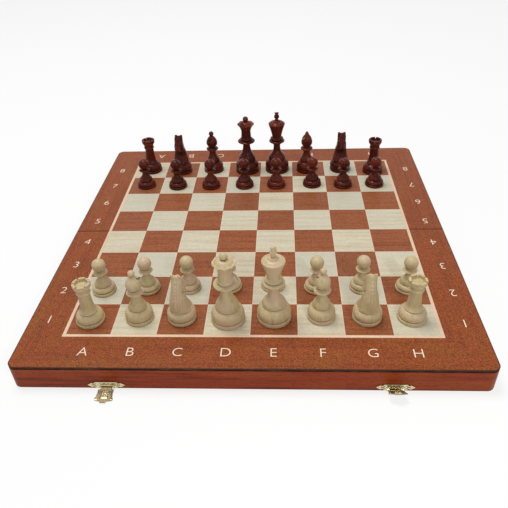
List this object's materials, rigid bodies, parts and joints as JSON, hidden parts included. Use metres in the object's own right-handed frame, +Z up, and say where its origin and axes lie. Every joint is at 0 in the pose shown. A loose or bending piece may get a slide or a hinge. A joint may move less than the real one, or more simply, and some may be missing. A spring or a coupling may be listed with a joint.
{
  "type": "folding chess box",
  "caption": "Folding wooden chess box: two shallow trays hinged at the middle, whose veneered backs open out into the board, with brass clasps and turned wooden chessmen.",
  "frame": {"origin": "middle of the fold line, on the plane that the rims of the open box stand on", "axes": "+X along the front edge to the right, +Y from the front edge to the back, +Z up out of the playing surface"},
  "size_m": [0.492, 0.5152, 0.1261],
  "materials": {
    "wall_wood": "satin lacquered red-brown wood",
    "plywood": "plain plywood with a dark stained edge",
    "border_veneer": "satin lacquered red-brown veneer",
    "dark_veneer": "satin lacquered red-brown veneer",
    "light_veneer": "satin lacquered pale veneer",
    "line_veneer": "satin lacquered pale inlay",
    "hinge_brass": "plain brushed brass",
    "fixing_brass": "bright brass",
    "clasp_brass": "bright pressed brass",
    "pale_men": "smooth waxed pale wood",
    "dark_men": "gloss lacquered dark red-brown wood"
  },
  "bodies": {
    "back_half": {"back_outer_rail": "wall_wood", "back_left_rail": "wall_wood", "back_right_rail": "wall_wood", "back_mid_rail": "wall_wood", "back_panel": "plywood", "back_border": "border_veneer", "back_dark_squares": "dark_veneer", "back_light_squares": "light_veneer", "back_stringing": "line_veneer", "back_hinge_leaves": "hinge_brass", "back_screws": "fixing_brass", "hinge_pins": "hinge_brass", "catches": "clasp_brass"},
    "front_half": {"front_outer_rail": "wall_wood", "front_left_rail": "wall_wood", "front_right_rail": "wall_wood", "front_mid_rail": "wall_wood", "front_panel": "plywood", "front_border": "border_veneer", "front_dark_squares": "dark_veneer", "front_light_squares": "light_veneer", "front_stringing": "line_veneer", "front_hinge_leaves": "hinge_brass", "front_screws": "fixing_brass", "clasp_plates": "clasp_brass", "clasp_pins": "clasp_brass"},
    "hasp_left": {"hasp_left": "clasp_brass"},
    "hasp_right": {"hasp_right": "clasp_brass"},
    "white_rook_a1": {"white_rook_a1": "pale_men"},
    "white_bishop_b1": {"white_bishop_b1": "pale_men"},
    "white_knight_c1": {"white_knight_c1": "pale_men"},
    "white_queen_d1": {"white_queen_d1": "pale_men"},
    "white_king_e1": {"white_king_e1": "pale_men"},
    "white_bishop_f1": {"white_bishop_f1": "pale_men"},
    "white_knight_g1": {"white_knight_g1": "pale_men"},
    "white_rook_h1": {"white_rook_h1": "pale_men"},
    "white_pawn_a2": {"white_pawn_a2": "pale_men"},
    "white_pawn_b2": {"white_pawn_b2": "pale_men"},
    "white_pawn_c2": {"white_pawn_c2": "pale_men"},
    "white_pawn_d2": {"white_pawn_d2": "pale_men"},
    "white_pawn_e2": {"white_pawn_e2": "pale_men"},
    "white_pawn_f2": {"white_pawn_f2": "pale_men"},
    "white_pawn_g2": {"white_pawn_g2": "pale_men"},
    "white_pawn_h2": {"white_pawn_h2": "pale_men"},
    "black_pawn_a7": {"black_pawn_a7": "dark_men"},
    "black_pawn_b7": {"black_pawn_b7": "dark_men"},
    "black_pawn_c7": {"black_pawn_c7": "dark_men"},
    "black_pawn_d7": {"black_pawn_d7": "dark_men"},
    "black_pawn_e7": {"black_pawn_e7": "dark_men"},
    "black_pawn_f7": {"black_pawn_f7": "dark_men"},
    "black_pawn_g7": {"black_pawn_g7": "dark_men"},
    "black_pawn_h7": {"black_pawn_h7": "dark_men"},
    "black_rook_a8": {"black_rook_a8": "dark_men"},
    "black_knight_b8": {"black_knight_b8": "dark_men"},
    "black_bishop_c8": {"black_bishop_c8": "dark_men"},
    "black_queen_d8": {"black_queen_d8": "dark_men"},
    "black_king_e8": {"black_king_e8": "dark_men"},
    "black_bishop_f8": {"black_bishop_f8": "dark_men"},
    "black_knight_g8": {"black_knight_g8": "dark_men"},
    "black_rook_h8": {"black_rook_h8": "dark_men"}
  },
  "joints": [
    {"name": "board_fold", "type": "hinge", "parent": "back_half", "child": "front_half", "pos_m": [0, 0, -0.0001], "axis": [1, 0, 0], "range_deg": [0, 180]},
    {"name": "clasp_left_swing", "type": "hinge", "parent": "front_half", "child": "hasp_left", "pos_m": [-0.1465, -0.2475, 0.0015], "axis": [1, 0, 0], "range_deg": [-70, 85]},
    {"name": "clasp_right_swing", "type": "hinge", "parent": "front_half", "child": "hasp_right", "pos_m": [0.1465, -0.2475, 0.0015], "axis": [1, 0, 0], "range_deg": [-30, 125]},
    {"name": "lift_white_rook_a1", "type": "slide", "parent": "front_half", "child": "white_rook_a1", "axis": [0, 0, 1], "range_m": [0, 0.12]},
    {"name": "lift_white_bishop_b1", "type": "slide", "parent": "front_half", "child": "white_bishop_b1", "axis": [0, 0, 1], "range_m": [0, 0.12]},
    {"name": "lift_white_knight_c1", "type": "slide", "parent": "front_half", "child": "white_knight_c1", "axis": [0, 0, 1], "range_m": [0, 0.12]},
    {"name": "lift_white_queen_d1", "type": "slide", "parent": "front_half", "child": "white_queen_d1", "axis": [0, 0, 1], "range_m": [0, 0.12]},
    {"name": "lift_white_king_e1", "type": "slide", "parent": "front_half", "child": "white_king_e1", "axis": [0, 0, 1], "range_m": [0, 0.12]},
    {"name": "lift_white_bishop_f1", "type": "slide", "parent": "front_half", "child": "white_bishop_f1", "axis": [0, 0, 1], "range_m": [0, 0.12]},
    {"name": "lift_white_knight_g1", "type": "slide", "parent": "front_half", "child": "white_knight_g1", "axis": [0, 0, 1], "range_m": [0, 0.12]},
    {"name": "lift_white_rook_h1", "type": "slide", "parent": "front_half", "child": "white_rook_h1", "axis": [0, 0, 1], "range_m": [0, 0.12]},
    {"name": "lift_white_pawn_a2", "type": "slide", "parent": "front_half", "child": "white_pawn_a2", "axis": [0, 0, 1], "range_m": [0, 0.12]},
    {"name": "lift_white_pawn_b2", "type": "slide", "parent": "front_half", "child": "white_pawn_b2", "axis": [0, 0, 1], "range_m": [0, 0.12]},
    {"name": "lift_white_pawn_c2", "type": "slide", "parent": "front_half", "child": "white_pawn_c2", "axis": [0, 0, 1], "range_m": [0, 0.12]},
    {"name": "lift_white_pawn_d2", "type": "slide", "parent": "front_half", "child": "white_pawn_d2", "axis": [0, 0, 1], "range_m": [0, 0.12]},
    {"name": "lift_white_pawn_e2", "type": "slide", "parent": "front_half", "child": "white_pawn_e2", "axis": [0, 0, 1], "range_m": [0, 0.12]},
    {"name": "lift_white_pawn_f2", "type": "slide", "parent": "front_half", "child": "white_pawn_f2", "axis": [0, 0, 1], "range_m": [0, 0.12]},
    {"name": "lift_white_pawn_g2", "type": "slide", "parent": "front_half", "child": "white_pawn_g2", "axis": [0, 0, 1], "range_m": [0, 0.12]},
    {"name": "lift_white_pawn_h2", "type": "slide", "parent": "front_half", "child": "white_pawn_h2", "axis": [0, 0, 1], "range_m": [0, 0.12]},
    {"name": "lift_black_pawn_a7", "type": "slide", "parent": "back_half", "child": "black_pawn_a7", "axis": [0, 0, 1], "range_m": [0, 0.12]},
    {"name": "lift_black_pawn_b7", "type": "slide", "parent": "back_half", "child": "black_pawn_b7", "axis": [0, 0, 1], "range_m": [0, 0.12]},
    {"name": "lift_black_pawn_c7", "type": "slide", "parent": "back_half", "child": "black_pawn_c7", "axis": [0, 0, 1], "range_m": [0, 0.12]},
    {"name": "lift_black_pawn_d7", "type": "slide", "parent": "back_half", "child": "black_pawn_d7", "axis": [0, 0, 1], "range_m": [0, 0.12]},
    {"name": "lift_black_pawn_e7", "type": "slide", "parent": "back_half", "child": "black_pawn_e7", "axis": [0, 0, 1], "range_m": [0, 0.12]},
    {"name": "lift_black_pawn_f7", "type": "slide", "parent": "back_half", "child": "black_pawn_f7", "axis": [0, 0, 1], "range_m": [0, 0.12]},
    {"name": "lift_black_pawn_g7", "type": "slide", "parent": "back_half", "child": "black_pawn_g7", "axis": [0, 0, 1], "range_m": [0, 0.12]},
    {"name": "lift_black_pawn_h7", "type": "slide", "parent": "back_half", "child": "black_pawn_h7", "axis": [0, 0, 1], "range_m": [0, 0.12]},
    {"name": "lift_black_rook_a8", "type": "slide", "parent": "back_half", "child": "black_rook_a8", "axis": [0, 0, 1], "range_m": [0, 0.12]},
    {"name": "lift_black_knight_b8", "type": "slide", "parent": "back_half", "child": "black_knight_b8", "axis": [0, 0, 1], "range_m": [0, 0.12]},
    {"name": "lift_black_bishop_c8", "type": "slide", "parent": "back_half", "child": "black_bishop_c8", "axis": [0, 0, 1], "range_m": [0, 0.12]},
    {"name": "lift_black_queen_d8", "type": "slide", "parent": "back_half", "child": "black_queen_d8", "axis": [0, 0, 1], "range_m": [0, 0.12]},
    {"name": "lift_black_king_e8", "type": "slide", "parent": "back_half", "child": "black_king_e8", "axis": [0, 0, 1], "range_m": [0, 0.12]},
    {"name": "lift_black_bishop_f8", "type": "slide", "parent": "back_half", "child": "black_bishop_f8", "axis": [0, 0, 1], "range_m": [0, 0.12]},
    {"name": "lift_black_knight_g8", "type": "slide", "parent": "back_half", "child": "black_knight_g8", "axis": [0, 0, 1], "range_m": [0, 0.12]},
    {"name": "lift_black_rook_h8", "type": "slide", "parent": "back_half", "child": "black_rook_h8", "axis": [0, 0, 1], "range_m": [0, 0.12]}
  ]
}
